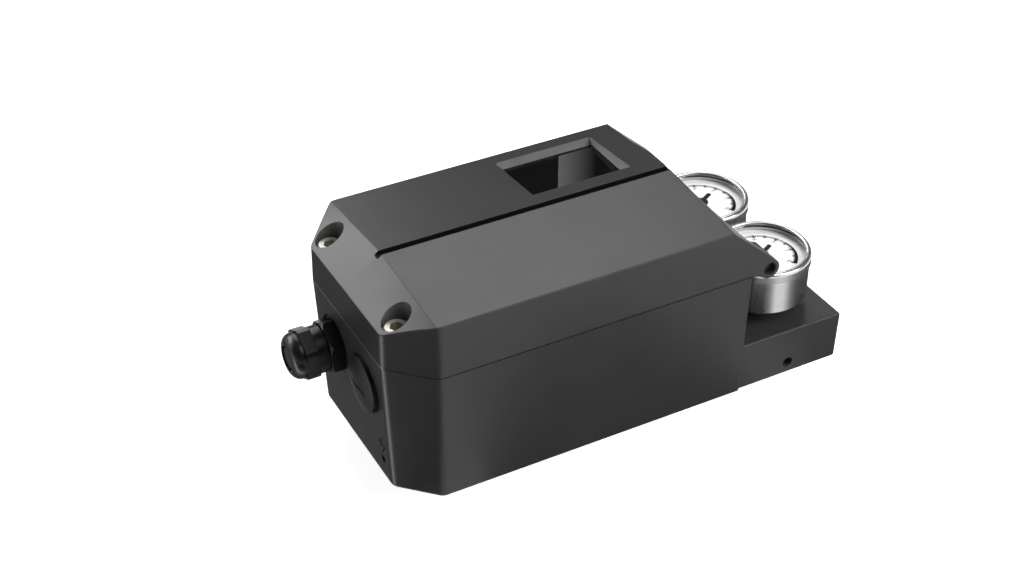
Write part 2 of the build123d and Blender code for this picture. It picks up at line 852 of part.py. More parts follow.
def make_inlet_filter():
    """Screw-in air filter with a slotted head."""
    x = air_x
    body = rod(3.3, x, 0, (24, 36)) + rod(5.5, x, 0, (36, 40))
    body = chamfer(body.edges().group_by(Axis.Z)[-1], 0.5)
    return body - slab((x - 6, x + 6), (-0.6, 0.6), (38.5, 41))


def make_tray():
    """Flat tray over the mechanics with posts for the board."""
    z = (tray_foot, tray_foot + tray_thickness)
    tray = slab(tray_x, (-tray_y, tray_y), z)
    tray = fillet(tray.edges().filter_by(Axis.Z), 4)
    for x in (panel_x[0] + 5, panel_x[1] - 5):
        for y in (10 - tray_y, tray_y - 10):
            tray += rod(3, x, y, (z[0], board_foot))
    for x, y in post_points:
        tray -= rod(1.8, x, y, (z[0] - 1, z[1] + 1))
    return tray


def make_tray_screws():
    """Four pan head screws that hold the tray."""
    screws = []
    for x, y in post_points:
        top = tray_foot + tray_thickness
        head = chamfer(rod(3.2, x, y, (top, top + 2)).edges().group_by(Axis.Z)[-1], 0.6)
        screw = head + rod(1.45, x, y, (top - 9, top))
        screws.append(screw - slab((x - 4, x + 4), (y - 0.4, y + 0.4), (top + 1.1, top + 3)))
    return group(*screws)


def make_board():
    """Circuit board under the panel."""
    z = (board_foot, board_foot + board_thickness)
    board = slab((panel_x[0] + 2.5, panel_x[1] - 2.5), (2 - tray_y, tray_y - 2), z)
    return fillet(board.edges().filter_by(Axis.Z), 1.5)


def make_key_switches():
    """Four key switches on the board, one under each button."""
    low = board_foot + board_thickness
    keys = []
    for x in button_xs:
        body = slab((x - 3, x + 3), (button_y - 3, button_y + 3), (low, low + 1))
        keys.append(body + rod(1.6, x, button_y, (low + 1, low + 1.5)))
    return group(*keys)


def make_display():
    """Display module with a raised glass."""
    low = board_foot + board_thickness
    frame_top = panel_top - cover_wall - easy
    base = slab(display_x, display_y, (low, frame_top))
    glass = slab(
        (display_x[0] + 2, display_x[1] - 2),
        (display_y[0] + 2, display_y[1] - 2),
        (frame_top, panel_top + 1.4),
    )
    return base + chamfer(glass.edges().group_by(Axis.Z)[-1], 0.4)


def make_cover():
    """Hood over the electronics with the display opening and the button holes."""
    low = tray_foot + tray_thickness
    wide = slab(cover_x, (-tray_y, tray_y), (low, cover_step))
    wide = fillet(wide.edges().filter_by(Axis.Z), 4)
    wide = fillet(wide.edges().group_by(Axis.Z)[-1], 1.2)
    high = slab(panel_x, (-tray_y, tray_y + 2.4), (cover_step - 4, panel_top))
    high = fillet(high.edges().filter_by(Axis.Z), 3)
    high = fillet(high.edges().group_by(Axis.Z)[-1], 1.2)
    inner = slab(
        (cover_x[0] + cover_wall, cover_x[1] - cover_wall),
        (-tray_y + cover_wall, tray_y - cover_wall),
        (low - 1, cover_step - cover_wall),
    )
    inner = fillet(inner.edges().filter_by(Axis.Z), 2.5)
    hollow = slab(
        (panel_x[0] + cover_wall, panel_x[1] - cover_wall),
        (-tray_y + cover_wall, tray_y + 0.4),
        (cover_step - cover_wall - 1, panel_top - cover_wall),
    )
    cover = wide + high - inner - hollow
    cover -= slab(
        (display_x[0] + 1.7, display_x[1] - 1.7),
        (display_y[0] + 1.7, display_y[1] - 1.7),
        (60, 80),
    )
    for x in button_xs:
        cover -= rod(button_radius + easy, x, button_y, (60, 80))
    for x, y in post_points:
        cover -= rod(4.2, x, y, (40, 50))
    return cover


def make_button(x):
    """Push button with a chamfered cap and a flange under the panel."""
    flange_top = panel_top - cover_wall - 0.1
    cap = rod(button_radius, x, button_y, (flange_top - 1.4, button_top))
    cap = chamfer(cap.edges().group_by(Axis.Z)[-1], 0.5)
    cap += rod(button_radius + 1.1, x, button_y, (flange_top - 1.4, flange_top))
    stem = rod(1.6, x, button_y, (board_foot + board_thickness + 1.5 + button_travel + 0.1, flange_top))
    return cap + stem


def terminal_centres():
    """Middle of each terminal way along Y."""
    return [terminal_pitch * (way - (terminal_ways - 1) / 2) for way in range(terminal_ways)]


def make_terminals():
    """Terminal block with wire openings and screw wells."""
    low = tray_foot + tray_thickness
    reach = terminal_pitch * terminal_ways / 2
    block = slab(terminal_x, (-reach, reach), (low, low + 8))
    block += slab((terminal_x[0] + 5, terminal_x[1]), (-reach, reach), (low + 8, low + 11))
    block = chamfer(block.edges().filter_by(Axis.Y).group_by(Axis.Z)[-1], 0.6)
    for y in terminal_centres():
        wire = (terminal_x[0] - 1, terminal_x[0] + 7)
        block -= slab(wire, (y - 1.8, y + 1.8), (low + 1.5, low + 5.2))
        block -= rod(1.9, clamp_x, y, (low + 5.3, low + 12))
    return block


def make_terminal_screws():
    """Slotted clamp screws in their wells."""
    low = tray_foot + tray_thickness
    screws = []
    for y in terminal_centres():
        screw = rod(1.85, clamp_x, y, (low + 5.3, low + 7.3))
        screws.append(screw - slab((clamp_x - 3, clamp_x + 3), (y - 0.3, y + 0.3), (low + 6.6, low + 8)))
    return group(*screws)


def make_earth_screw():
    """Earth screw with its washer on the post near the cable entries."""
    x = earth_post_x
    washer_top = earth_post_top + 0.8
    screw = rod(earth_hole_radius - thread_gap, x, 0, (22, washer_top))
    screw += rod(4.4, x, 0, (earth_post_top, washer_top))
    head = rod(3.4, x, 0, (washer_top, washer_top + 2.4))
    screw += chamfer(head.edges().group_by(Axis.Z)[-1], 0.6)
    return screw - slab((x - 4, x + 4), (-0.5, 0.5), (washer_top + 1.2, washer_top + 3))


def make_exhaust_filter():
    """Porous disc in the underside."""
    return rod(filter_radius, filter_x, 0, (0.6, 3.5))


def build():
    """Every sub-part by node name."""
    parts = {
        "housing_base": make_base(),
        "housing_lid": make_lid(),
        "lid_cord": make_cord(),
        "window_pane": make_pane(),
        "hinge_pins": make_hinge_pins(),
        "lid_screw_front": make_lid_screw(-1),
        "lid_screw_rear": make_lid_screw(1),
        "lid_screw_rings": make_screw_rings(),
        "gland_body": make_gland_body(),
        "gland_nut": make_gland_nut(),
        "gland_insert": make_gland_insert(),
        "gland_blank": make_gland_blank(),
        "gland_ring": make_entry_ring(1, 9.6),
        "blank_plug": make_blank_plug(),
        "plug_ring": make_entry_ring(-1, 10.9),
        "gauge_block": make_block(),
        "block_rings": make_block_rings(),
        "block_screws": make_block_screws(),
        "feedback_shaft": make_shaft(),
        "shaft_gear": make_shaft_gear(),
        "shaft_bushes": make_bushes(),
        "sensor_gear": make_sensor_gear(),
        "angle_sensor": make_sensor(),
        "valve_block": make_valve_block(),
        "converter_coil": make_coil(),
        "inlet_filter": make_inlet_filter(),
        "electronics_tray": make_tray(),
        "tray_screws": make_tray_screws(),
        "circuit_board": make_board(),
        "key_switches": make_key_switches(),
        "display": make_display(),
        "electronics_cover": make_cover(),
        "terminal_block": make_terminals(),
        "terminal_screws": make_terminal_screws(),
        "earth_screw": make_earth_screw(),
        "exhaust_filter": make_exhaust_filter(),
    }
    for number, x in enumerate(button_xs, 1):
        parts["button_%d" % number] = make_button(x)
    for side, name in ((-1, "front"), (1, "rear")):
        for piece, solid in make_gauge(side).items():
            parts["gauge_%s_%s" % (name, piece)] = solid
    return parts


os.makedirs("parts", exist_ok=True)
for node, solid in build().items():
    export_step(solid, "parts/%s.step" % node)
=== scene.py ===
import math

import bmesh
import bpy
from mathutils import Matrix, Vector


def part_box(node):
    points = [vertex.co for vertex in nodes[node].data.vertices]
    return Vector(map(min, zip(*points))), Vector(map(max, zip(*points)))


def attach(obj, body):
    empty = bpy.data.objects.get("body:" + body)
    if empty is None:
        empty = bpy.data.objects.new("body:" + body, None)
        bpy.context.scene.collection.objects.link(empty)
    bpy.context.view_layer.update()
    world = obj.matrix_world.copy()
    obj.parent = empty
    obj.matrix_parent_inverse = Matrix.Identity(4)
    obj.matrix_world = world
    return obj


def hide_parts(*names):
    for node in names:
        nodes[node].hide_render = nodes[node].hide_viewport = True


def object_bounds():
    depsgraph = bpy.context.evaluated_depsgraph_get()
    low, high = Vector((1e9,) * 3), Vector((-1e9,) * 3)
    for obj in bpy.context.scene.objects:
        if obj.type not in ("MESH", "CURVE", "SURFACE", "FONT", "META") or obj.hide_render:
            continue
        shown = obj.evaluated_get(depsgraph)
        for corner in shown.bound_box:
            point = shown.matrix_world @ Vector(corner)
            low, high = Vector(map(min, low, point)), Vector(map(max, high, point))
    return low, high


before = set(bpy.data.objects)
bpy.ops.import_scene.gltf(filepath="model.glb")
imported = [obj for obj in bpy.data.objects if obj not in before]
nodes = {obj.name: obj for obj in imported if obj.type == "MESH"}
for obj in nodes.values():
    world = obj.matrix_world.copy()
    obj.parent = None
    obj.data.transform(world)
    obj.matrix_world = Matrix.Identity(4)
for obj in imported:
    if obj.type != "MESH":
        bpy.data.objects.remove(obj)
cad_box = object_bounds()

MM = 0.001


# Shader helpers

def new_material(name):
    """Material with its node tree and main shader."""
    material = bpy.data.materials.new(name)
    material.use_nodes = True
    tree = material.node_tree
    return material, tree, tree.nodes["Principled BSDF"]


def add(tree, kind, values=None, **settings):
    """Adds one node, with its settings and the values of its sockets."""
    node = tree.nodes.new(kind)
    for key, value in settings.items():
        setattr(node, key, value)
    for key, value in (values or {}).items():
        node.inputs[key].default_value = value
    return node


def rgba(colour):
    return (colour[0], colour[1], colour[2], 1.0)


def noise(tree, size, detail=2.0, stretch=(1, 1, 1)):
    """Noise whose features are about the given size in metres."""
    place = add(tree, "ShaderNodeTexCoord")
    scale = add(tree, "ShaderNodeMapping", {"Scale": [s / size for s in stretch]})
    texture = add(tree, "ShaderNodeTexNoise", {"Scale": 1.0, "Detail": detail, "Roughness": 0.55})
    tree.links.new(place.outputs["Object"], scale.inputs["Vector"])
    tree.links.new(scale.outputs["Vector"], texture.inputs["Vector"])
    return texture.outputs["Fac"]


def spread(tree, source, low, high, start=0.3, end=0.7):
    """Maps a value that runs from start to end onto the range low to high."""
    node = add(tree, "ShaderNodeMapRange", {
        "From Min": start, "From Max": end, "To Min": low, "To Max": high,
    })
    tree.links.new(source, node.inputs["Value"])
    return node.outputs["Result"]


def mix_colour(tree, fac, first, second):
    """Mix of two colours, each a value or a socket."""
    node = add(tree, "ShaderNodeMix", data_type="RGBA")
    tree.links.new(fac, node.inputs[0])
    for slot, value in ((6, first), (7, second)):
        if isinstance(value, tuple):
            node.inputs[slot].default_value = rgba(value)
        else:
            tree.links.new(value, node.inputs[slot])
    return node.outputs[2]


# Lighter outer edges: partly edge wear, partly painted highlight where rounded edges catch light.
WORN_LIT_EDGE_WIDTH = 0.35 * MM
WORN_LIT_EDGE_BEND = (0.80, 0.97)
WORN_LIT_EDGE_PATCH = 2.5 * MM
SLANT_RANGE = (0.42, 0.62)
BEVEL_SAMPLES = 6


def worn_and_lit_edge_mask(tree, radius, low, high):
    """Bright along outer edges, broken up by noise: partly edge wear, partly a painted highlight on the
    edges.
    """
    bevel = add(tree, "ShaderNodeBevel", {"Radius": radius}, samples=BEVEL_SAMPLES)
    flat = add(tree, "ShaderNodeNewGeometry")
    dot = add(tree, "ShaderNodeVectorMath", operation="DOT_PRODUCT")
    tree.links.new(bevel.outputs["Normal"], dot.inputs[0])
    tree.links.new(flat.outputs["Normal"], dot.inputs[1])
    mask = spread(tree, dot.outputs["Value"], 1.0, 0.0, low, high)
    broken = spread(tree, noise(tree, WORN_LIT_EDGE_PATCH, 3.0), 0.0, 1.0, 0.42, 0.62)
    product = add(tree, "ShaderNodeMath", operation="MULTIPLY")
    tree.links.new(mask, product.inputs[0])
    tree.links.new(broken, product.inputs[1])
    return product.outputs["Value"]


def surface(name, colour, roughness, metallic=0.0, specular=0.5, vary=0.15, blotch=12 * MM,
            grain=0.5 * MM, bump=0.0, rough_vary=0.06, stretch=(1, 1, 1), edge_wear_and_highlight=None,
            round_edges=0.0, slant_specular=None):
    """Painted, moulded or metal surface with tone, gloss and relief from noise."""
    material, tree, shader = new_material(name)
    shader.inputs["Metallic"].default_value = metallic
    shader.inputs["Specular IOR Level"].default_value = specular
    if slant_specular is not None:
        slant = add(tree, "ShaderNodeLayerWeight", {"Blend": 0.5})
        level = spread(tree, slant.outputs["Facing"], specular, slant_specular, *SLANT_RANGE)
        tree.links.new(level, shader.inputs["Specular IOR Level"])

    dark = tuple(c * (1 - vary) for c in colour)
    light = tuple(c * (1 + vary) for c in colour)
    tone = mix_colour(tree, spread(tree, noise(tree, blotch, 4.0, stretch), 0.0, 1.0), dark, light)
    # Lighter colour on the outer edges: partly wear, partly painted highlight.
    if edge_wear_and_highlight:
        tone = mix_colour(tree, worn_and_lit_edge_mask(tree, WORN_LIT_EDGE_WIDTH, *WORN_LIT_EDGE_BEND), tone, edge_wear_and_highlight)
    tree.links.new(tone, shader.inputs["Base Color"])

    uneven = noise(tree, blotch * 0.6, 5.0, stretch)
    gloss = spread(tree, uneven, roughness - rough_vary, roughness + rough_vary)
    tree.links.new(gloss, shader.inputs["Roughness"])

    normal = None
    if round_edges:
        bevel = add(tree, "ShaderNodeBevel", {"Radius": round_edges}, samples=BEVEL_SAMPLES)
        normal = bevel.outputs["Normal"]
    if bump:
        relief = add(tree, "ShaderNodeBump", {"Strength": 1.0, "Distance": bump})
        tree.links.new(noise(tree, grain, 2.0, stretch), relief.inputs["Height"])
        if normal:
            tree.links.new(normal, relief.inputs["Normal"])
        normal = relief.outputs["Normal"]
    if normal:
        tree.links.new(normal, shader.inputs["Normal"])
    return material


def clear(name, tint, gloss_colour, roughness, strength=1.0):
    """Thin clear sheet: passes light with a tint and mirrors at a slant."""
    material, tree, shader = new_material(name)
    tree.nodes.remove(shader)
    out = tree.nodes["Material Output"]
    passing = add(tree, "ShaderNodeBsdfTransparent", {"Color": rgba(tint)})
    mirror = add(tree, "ShaderNodeBsdfGlossy", {"Color": rgba(gloss_colour)})
    gloss = spread(tree, noise(tree, 6 * MM, 4.0), roughness * 0.7, roughness * 1.3)
    tree.links.new(gloss, mirror.inputs["Roughness"])
    slant = add(tree, "ShaderNodeLayerWeight", {"Blend": 0.5})
    steep = add(tree, "ShaderNodeMath", {1: 5.0}, operation="POWER")
    share = add(tree, "ShaderNodeMath", {1: 0.96 * strength, 2: 0.04 * strength}, operation="MULTIPLY_ADD")
    mix = add(tree, "ShaderNodeMixShader")
    tree.links.new(slant.outputs["Facing"], steep.inputs[0])
    tree.links.new(steep.outputs["Value"], share.inputs[0])
    tree.links.new(share.outputs["Value"], mix.inputs["Fac"])
    tree.links.new(passing.outputs["BSDF"], mix.inputs[1])
    tree.links.new(mirror.outputs["BSDF"], mix.inputs[2])
    tree.links.new(mix.outputs["Shader"], out.inputs["Surface"])
    return material


# Materials

housing_paint = surface(
    "housing_paint", (0.028, 0.028, 0.0285), 0.34, specular=0.16, vary=0.06, blotch=25 * MM,
    grain=0.45 * MM, bump=0.003 * MM, edge_wear_and_highlight=(0.06, 0.06, 0.062), round_edges=0.35 * MM,
    slant_specular=0.01, rough_vary=0.015,
)
# Painted shade: near black in the ridge groove and along the parting joint on the sides, where shade falls.
painted_shade_black = surface(
    "painted_shade_black", (0.004, 0.004, 0.004), 0.6, specular=0.05, vary=0.1, blotch=8 * MM,
    grain=0.4 * MM, bump=0.003 * MM,
)
# Grey lighter than the paint: lines the lid screw holes, and as painted highlight marks the parting joint on
# the end walls.
grey_lining_and_painted_highlight = surface(
    "grey_lining_and_painted_highlight", (0.085, 0.085, 0.082), 0.4, specular=0.3, vary=0.06, blotch=6 * MM,
    grain=0.4 * MM, bump=0.003 * MM,
)
# Painted shade: the hex sockets of the lid screws are lined darker than the nickel, where shade falls in
# them.
socket_painted_shade = surface(
    "socket_painted_shade", (0.27, 0.25, 0.19), 0.5, specular=0.3, vary=0.06, blotch=2 * MM,
    grain=0.3 * MM, bump=0.002 * MM,
)
plug_black = surface(
    "plug_black", (0.010, 0.010, 0.010), 0.5, specular=0.12, vary=0.08, blotch=8 * MM,
    grain=0.4 * MM, bump=0.002 * MM, round_edges=0.2 * MM, slant_specular=0.04, rough_vary=0.02,
)
lcd_grey = surface(
    "lcd_grey", (0.13, 0.15, 0.11), 0.35, vary=0.04, blotch=9 * MM, grain=0.4 * MM, bump=0.001 * MM,
)
# Painted light: lighter copies of the housing paint for the lid's walls in the window, the end walls as
# brightly lit, the long walls as dimly lit.
window_side_painted_light = surface(
    "window_side_painted_light", (0.060, 0.060, 0.060), 0.42, specular=0.2, vary=0.05, blotch=9 * MM,
    grain=0.4 * MM, bump=0.004 * MM,
)
window_end_painted_light = surface(
    "window_end_painted_light", (0.47, 0.47, 0.47), 0.42, specular=0.3, vary=0.05, blotch=9 * MM,
    grain=0.4 * MM, bump=0.004 * MM,
)
moulded_black = surface(
    "moulded_black", (0.006, 0.006, 0.006), 0.32, specular=0.22, vary=0.12, blotch=8 * MM,
    grain=0.3 * MM, bump=0.006 * MM, round_edges=0.25 * MM, slant_specular=0.02,
)
rubber_black = surface(
    "rubber_black", (0.012, 0.012, 0.012), 0.7, specular=0.3, vary=0.2, blotch=3 * MM,
    grain=0.15 * MM, bump=0.01 * MM,
)
nickel = surface(
    "nickel", (0.50, 0.48, 0.43), 0.45, metallic=0.35, vary=0.03, blotch=3 * MM,
    grain=0.3 * MM, bump=0.0003 * MM,
)
steel = surface(
    "steel", (0.52, 0.52, 0.53), 0.20, metallic=1.0, vary=0.03, blotch=9 * MM,
    stretch=(1, 1, 8), rough_vary=0.015,
)
bezel_steel = surface(
    "bezel_steel", (0.42, 0.42, 0.43), 0.25, metallic=1.0, vary=0.03, blotch=9 * MM,
    rough_vary=0.015,
)
dark_steel = surface(
    "dark_steel", (0.10, 0.10, 0.105), 0.38, metallic=1.0, vary=0.12, blotch=2 * MM,
    grain=0.2 * MM, bump=0.003 * MM,
)
yellow_metal = surface(
    "yellow_metal", (0.70, 0.52, 0.24), 0.30, metallic=1.0, vary=0.10, blotch=3 * MM,
    grain=0.25 * MM, bump=0.003 * MM,
)
sintered = surface(
    "sintered", (0.55, 0.40, 0.20), 0.62, metallic=1.0, vary=0.3, blotch=0.5 * MM,
    grain=0.35 * MM, bump=0.09 * MM,
)
light_metal = surface(
    "light_metal", (0.62, 0.62, 0.64), 0.36, metallic=1.0, vary=0.06, blotch=4 * MM,
    grain=0.3 * MM, bump=0.004 * MM,
)
white_plastic = surface(
    "white_plastic", (0.72, 0.71, 0.67), 0.4, vary=0.05, blotch=5 * MM, grain=0.3 * MM, bump=0.004 * MM,
)
grey_plastic = surface(
    "grey_plastic", (0.16, 0.165, 0.17), 0.48, vary=0.08, blotch=7 * MM, grain=0.3 * MM, bump=0.01 * MM,
    round_edges=0.25 * MM,
)
panel_plastic = surface(
    "panel_plastic", (0.045, 0.048, 0.052), 0.5, vary=0.10, blotch=9 * MM, grain=0.35 * MM, bump=0.015 * MM,
    round_edges=0.3 * MM,
)
button_rubber = surface(
    "button_rubber", (0.30, 0.32, 0.35), 0.62, specular=0.35, vary=0.06, blotch=3 * MM,
    grain=0.2 * MM, bump=0.01 * MM, round_edges=0.25 * MM,
)
board_green = surface(
    "board_green", (0.015, 0.13, 0.06), 0.35, vary=0.15, blotch=2 * MM, grain=0.4 * MM, bump=0.01 * MM,
)
dial_white = surface(
    "dial_white", (0.92, 0.92, 0.91), 0.45, vary=0.02, blotch=6 * MM, grain=0.3 * MM, bump=0.002 * MM,
)
print_black = surface(
    "print_black", (0.006, 0.006, 0.006), 0.6, specular=0.05, vary=0.2, blotch=1 * MM,
    grain=0.2 * MM, bump=0.001 * MM,
)
needle_black = surface(
    "needle_black", (0.006, 0.006, 0.006), 0.5, specular=0.08, vary=0.2, blotch=2 * MM,
    grain=0.2 * MM, bump=0.002 * MM,
)
smoked = clear("smoked", (0.22, 0.22, 0.23), (0.9, 0.9, 0.9), 0.006)
gauge_glass = clear("gauge_glass", (0.99, 0.99, 0.99), (0.8, 0.8, 0.8), 0.03, 0.2)

looks = {
    housing_paint: ["housing_base", "housing_lid", "gauge_block"],
    moulded_black: ["hinge_pins", "gland_body", "gland_nut", "gland_blank"],
    plug_black: ["blank_plug"],
    rubber_black: ["lid_cord", "lid_screw_rings", "gland_insert", "gland_ring", "plug_ring", "block_rings"],
    nickel: [
        "lid_screw_front", "lid_screw_rear", "tray_screws", "terminal_screws", "key_switches", "earth_screw",
    ],
    steel: ["feedback_shaft", "gauge_front_case", "gauge_rear_case"],
    bezel_steel: ["gauge_front_bezel", "gauge_rear_bezel"],
    dark_steel: ["block_screws"],
    yellow_metal: [
        "shaft_bushes", "inlet_filter", "gauge_front_socket", "gauge_rear_socket", "gauge_front_tube",
        "gauge_rear_tube", "gauge_front_movement", "gauge_rear_movement",
    ],
    sintered: ["exhaust_filter"],
    light_metal: ["valve_block"],
    white_plastic: ["shaft_gear", "sensor_gear"],
    grey_plastic: ["angle_sensor", "converter_coil", "electronics_tray", "terminal_block"],
    panel_plastic: ["electronics_cover", "display"],
    button_rubber: ["button_1", "button_2", "button_3", "button_4"],
    board_green: ["circuit_board"],
    dial_white: ["gauge_front_dial", "gauge_rear_dial"],
    needle_black: ["gauge_front_pointer", "gauge_rear_pointer"],
    smoked: ["window_pane"],
    gauge_glass: ["gauge_front_glass", "gauge_rear_glass"],
}
for material, names in looks.items():
    for name in names:
        mesh = nodes[name].data
        mesh.materials.clear()
        mesh.materials.append(material)


# Mesh helpers

def new_object(name, bm, material):
    """Turns a bmesh into an object in the scene."""
    mesh = bpy.data.meshes.new(name)
    bm.to_mesh(mesh)
    bm.free()
    mesh.materials.append(material)
    thing = bpy.data.objects.new(name, mesh)
    bpy.context.scene.collection.objects.link(thing)
    return thing


def finish_piece(name, bm, material, body, smooth=False):
    """Turns a bmesh into a named piece that rides on a body."""
    bmesh.ops.recalc_face_normals(bm, faces=bm.faces)
    piece = new_object(name, bm, material)
    for face in piece.data.polygons:
        face.use_smooth = smooth
    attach(piece, body)
    return piece


def polar(centre, radius, degrees, height):
    """Point at a radius and plan angle about an upright axis."""
    turn = math.radians(degrees)
    return Vector((centre[0] + radius * math.cos(turn), centre[1] + radius * math.sin(turn), height))


def band(bm, centre, height, angles, inner, outer):
    """Flat band about an upright axis; inner and outer give the radius at each angle."""
    rows = [
        (bm.verts.new(polar(centre, inner(a), a, height)), bm.verts.new(polar(centre, outer(a), a, height)))
        for a in angles
    ]
    for (a, b), (c, d) in zip(rows, rows[1:]):
        bm.faces.new((a, b, d, c))


def sweep(start, end, step):
    """Values from start to end in even steps of about the given size."""
    count = max(2, round(abs(end - start) / step))
    return [start + (end - start) * i / count for i in range(count + 1)]


def turned(bm, centre, profile, count=48):
    """Surface of revolution about an upright axis, from points of radius and height."""
    rings = []
    for radius, height in profile:
        steps = count if radius else 1
        rings.append([bm.verts.new(polar(centre, radius, 360 * i / steps, height)) for i in range(steps)])
    for low, high in zip(rings, rings[1:]):
        for i in range(count):
            j = i + 1
            ring = (low[i % len(low)], low[j % len(low)], high[j % len(high)], high[i % len(high)])
            bm.faces.new(list(dict.fromkeys(ring)))


def plate(bm, outline, low, high):
    """Flat plate between two heights with the given outline of x, y points."""
    floor = [bm.verts.new((x, y, low)) for x, y in outline]
    top = [bm.verts.new((x, y, high)) for x, y in outline]
    bm.faces.new(floor)
    bm.faces.new(top)
    for i in range(len(outline)):
        j = (i + 1) % len(outline)
        bm.faces.new((floor[i], floor[j], top[j], top[i]))


# Linings of recesses, partly painted light and painted shade, and the line of the parting joint, painted as
# shade on the sides and as a highlight on the ends; places and levels in millimetres

WINDOW_X = (8.0, 55.0)
WINDOW_Y = (8.5, 41.0)
WINDOW_FOOT = 79.4
GROOVE_HALF_WIDTH = 1.7
GROOVE_FOOT = 83.5
SCREW_X = -67.1
SCREW_Y = 30.0
SCREW_HOLE_RADIUS = 5.65
SCREW_HOLE_FOOT = 67.0
SOCKET_RADIUS = 3.0
SOCKET_LEVELS = (68.5, 73.8)
PARTING_LEVEL = 59.15
SKIN = 0.03 * MM


def add_lining(name, material, keep, node="housing_lid", body="lid", mirrored=True):
    """Thin skin over the node's faces that pass a test on their centre and normal."""
    source = nodes[node].data
    bm = bmesh.new()
    for face in source.polygons:
        if keep(face.center / MM, face.normal):
            points = [source.vertices[i].co + SKIN * face.normal for i in face.vertices]
            bm.faces.new([bm.verts.new(point) for point in points])
    finish_piece(name, bm, material, body).visible_glossy = mirrored


def in_window(at, normal):
    inside = WINDOW_X[0] < at.x < WINDOW_X[1] and WINDOW_Y[0] < at.y < WINDOW_Y[1]
    return inside and at.z > WINDOW_FOOT and abs(normal.z) < 0.8


def in_window_side(at, normal):
    return in_window(at, normal) and abs(normal.x) < 0.7


def in_window_end(at, normal):
    return in_window(at, normal) and abs(normal.x) >= 0.7


def in_groove(at, normal):
    return abs(at.y) < GROOVE_HALF_WIDTH and at.z > GROOVE_FOOT and normal.x > -0.3


def from_screw_axis(at):
    """Distance from the nearer of the two lid screws' axes."""
    return math.hypot(at.x - SCREW_X, abs(at.y) - SCREW_Y)


def in_screw_hole(at, normal):
    return from_screw_axis(at) < SCREW_HOLE_RADIUS and at.z > SCREW_HOLE_FOOT and abs(normal.z) < 0.1


def in_socket(at, normal):
    return from_screw_axis(at) < SOCKET_RADIUS and SOCKET_LEVELS[0] < at.z < SOCKET_LEVELS[1]


# The window's linings stay out of mirror images, as the pane in the photo shows none of them.
# Painted light: these linings make the window's walls lighter than the lid's paint, the ends more than the
# long sides.
add_lining("window_frame_long", window_side_painted_light, in_window_side, mirrored=False)
add_lining("window_frame_ends", window_end_painted_light, in_window_end, mirrored=False)
# Painted shade: the ridge groove is lined near black.
add_lining("groove_lining", painted_shade_black, in_groove)
# The lid screw holes' walls are lined in a grey lighter than the paint.
add_lining("screw_hole_lining", grey_lining_and_painted_highlight, in_screw_hole)
# Painted shade in the hex socket of each lid screw.
for side in ("front", "rear"):
    screw = "lid_screw_" + side
    add_lining("socket_lining_" + side, socket_painted_shade, in_socket, screw, screw)


def add_parting_line(name, material, keep):
    """Thin band over the joint between lid and base, below the outer walls that pass a test; it carries
    painted shade on the sides and painted highlight on the ends.
    """
    source = nodes["housing_lid"].data
    low, high = Vector((0, 0, -0.3 * MM)), Vector((0, 0, 0.05 * MM))
    bm = bmesh.new()
    for face in source.polygons:
        outward = face.normal.x * face.center.x + face.normal.y * face.center.y > 0
        if abs(face.normal.z) > 0.2 or not outward or not keep(face.normal):
            continue
        points = [source.vertices[i].co for i in face.vertices]
        foot = [point for point in points if abs(point.z - PARTING_LEVEL * MM) < 0.01 * MM]
        if len(foot) == 2:
            out = 0.04 * MM * face.normal
            corners = (foot[0] + low, foot[1] + low, foot[1] + high, foot[0] + high)
            bm.faces.new([bm.verts.new(corner + out) for corner in corners])
    finish_piece(name, bm, material, "base")


# Painted shade along the joint on the sides, painted highlight along it on the end walls.
add_parting_line("parting_line_sides", painted_shade_black, lambda normal: abs(normal.x) < 0.9)
add_parting_line("parting_line_ends", grey_lining_and_painted_highlight, lambda normal: abs(normal.x) >= 0.9)


# Threads in the ports and the fixing holes

THREAD_STEPS = 28
THREAD_FOOT = 0.42


def add_thread(name, holes, axis, radius, pitch, length, height):
    """Helical ridges standing inwards from the walls of holes that share an axis direction."""
    axis = Vector(axis)
    across = axis.orthogonal().normalized()
    upright = axis.cross(across)
    foot = radius + 0.01 * MM
    count = round(length / pitch * THREAD_STEPS)
    bm = bmesh.new()
    for hole in holes:
        rows = []
        for i in range(count + 1):
            turn = 2 * math.pi * i / THREAD_STEPS
            outward = math.cos(turn) * across + math.sin(turn) * upright
            along = Vector(hole) + axis * (pitch * i / THREAD_STEPS)
            profile = ((-THREAD_FOOT, foot), (0.0, radius - height), (THREAD_FOOT, foot))
            rows.append([
                bm.verts.new(along + shift * pitch * axis + reach * outward) for shift, reach in profile
            ])
        for one, two in zip(rows, rows[1:]):
            for a, b in ((0, 1), (1, 2)):
                bm.faces.new((one[a], one[b], two[b], two[a]))
    finish_piece(name, bm, housing_paint, "base", smooth=True)


ports = [(109.6 * MM, y * MM, 12.8 * MM) for y in (-28, 0, 28)]
add_thread(
    "port_threads", ports, axis=(1, 0, 0), radius=5.9 * MM, pitch=1.34 * MM, length=11.6 * MM,
    height=0.4 * MM,
)
fixings = [(x * MM, y * MM, 0.8 * MM) for x in (-40, 40) for y in (-15, 15)]
add_thread(
    "fixing_threads", fixings, axis=(0, 0, 1), radius=2.5 * MM, pitch=1.0 * MM, length=8.2 * MM,
    height=0.25 * MM,
)


# Cable end: raised earth symbol, in millimetres

EARTH_Y = -24.0
EARTH_LINE = 0.7
EARTH_BARS = [
    # level, width, height
    (18.4, EARTH_LINE, 3.2), (16.6, 6.0, EARTH_LINE), (15.2, 4.0, EARTH_LINE), (13.8, 2.0, EARTH_LINE),
]


